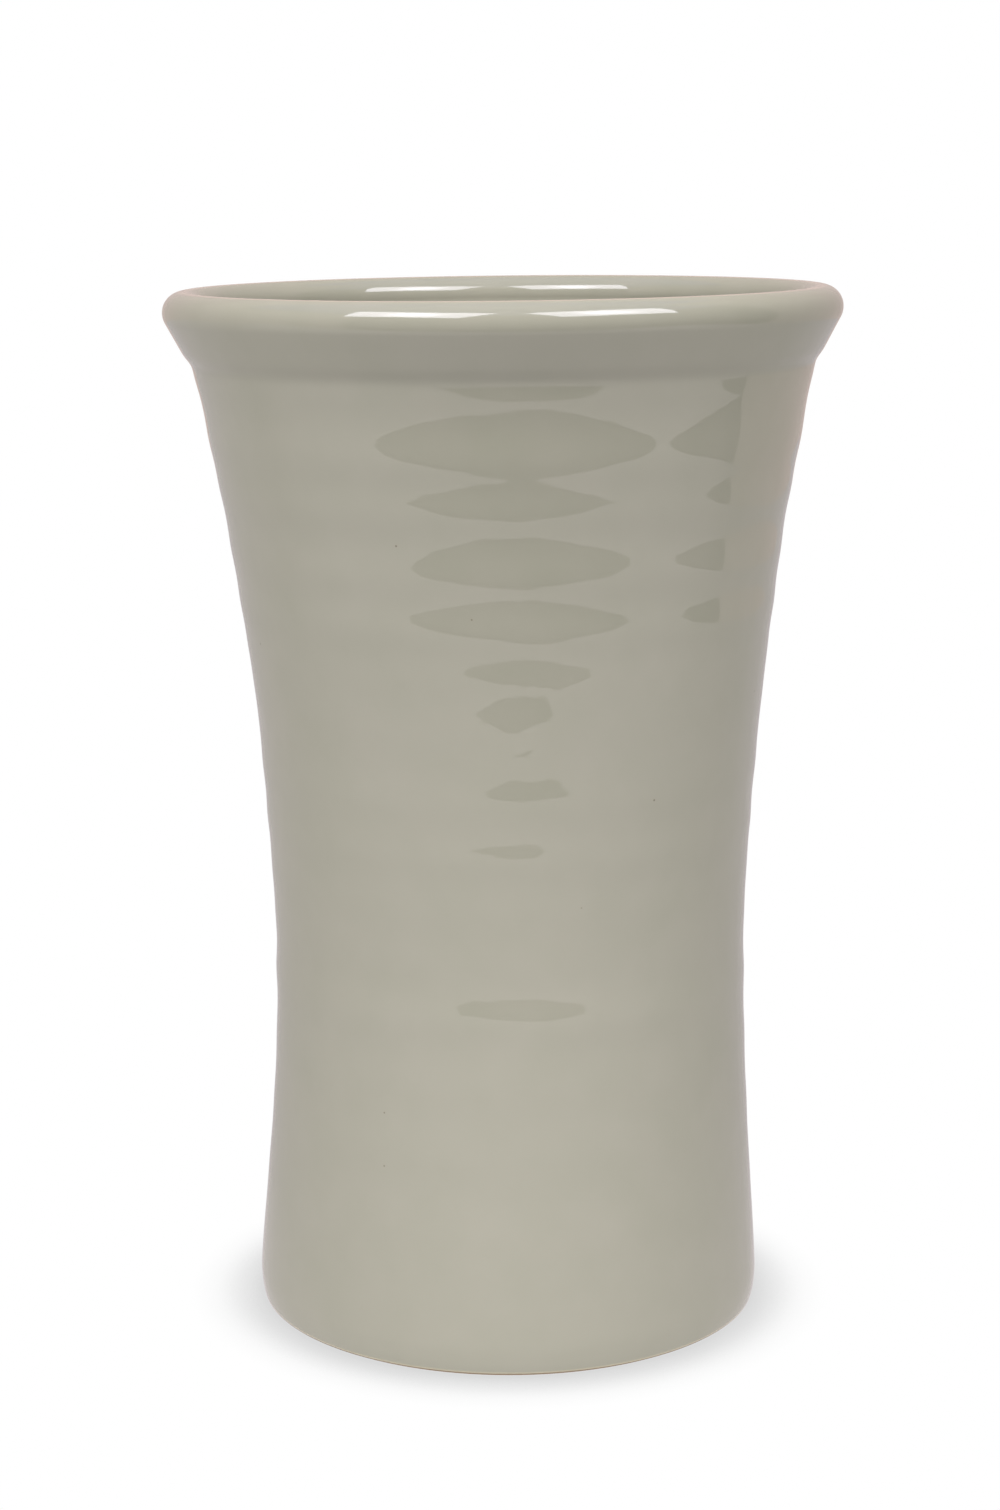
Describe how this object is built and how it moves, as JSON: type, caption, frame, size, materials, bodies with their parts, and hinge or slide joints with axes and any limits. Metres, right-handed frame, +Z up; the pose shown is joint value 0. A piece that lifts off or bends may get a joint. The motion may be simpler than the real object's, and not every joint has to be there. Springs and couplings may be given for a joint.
{
  "type": "brush holder pot",
  "caption": "Tall flared brush pot with a narrow waist and a rolled lip, thrown in stoneware and glazed sage celadon inside and out.",
  "frame": {"origin": "middle of the foot ring, on the surface that the pot stands on", "axes": "+Z up along the pot's axis of turning, from the foot to the mouth; X and Y are free because the pot is round"},
  "size_m": [0.1164, 0.1164, 0.18],
  "materials": {
    "bare_stoneware": "fired, unglazed and sponged",
    "celadon_glaze": "gloss sage celadon glaze"
  },
  "bodies": {
    "root": {"clay_body": "bare_stoneware", "outer_glaze": "celadon_glaze", "inner_glaze": "celadon_glaze"}
  },
  "joints": []
}
